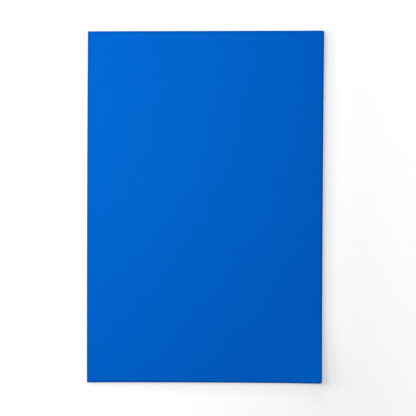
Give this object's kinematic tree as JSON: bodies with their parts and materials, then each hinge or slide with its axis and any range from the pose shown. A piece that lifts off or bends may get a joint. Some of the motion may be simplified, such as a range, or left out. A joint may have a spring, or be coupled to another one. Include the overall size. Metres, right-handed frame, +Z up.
{
  "type": "foam sheet",
  "caption": "Flat oblong sheet of blue closed-cell craft foam with sheared edges, lying flat with its front right corner slightly curled up.",
  "frame": {"origin": "middle of the underside, on the surface that the sheet lies on", "axes": "+X across the width to the right edge, +Y along the length to the back edge, +Z up through the thickness"},
  "size_m": [0.3079, 0.457, 0.0038],
  "materials": {
    "foam": "matte"
  },
  "bodies": {
    "root": {"foam_sheet": "foam"}
  },
  "joints": []
}
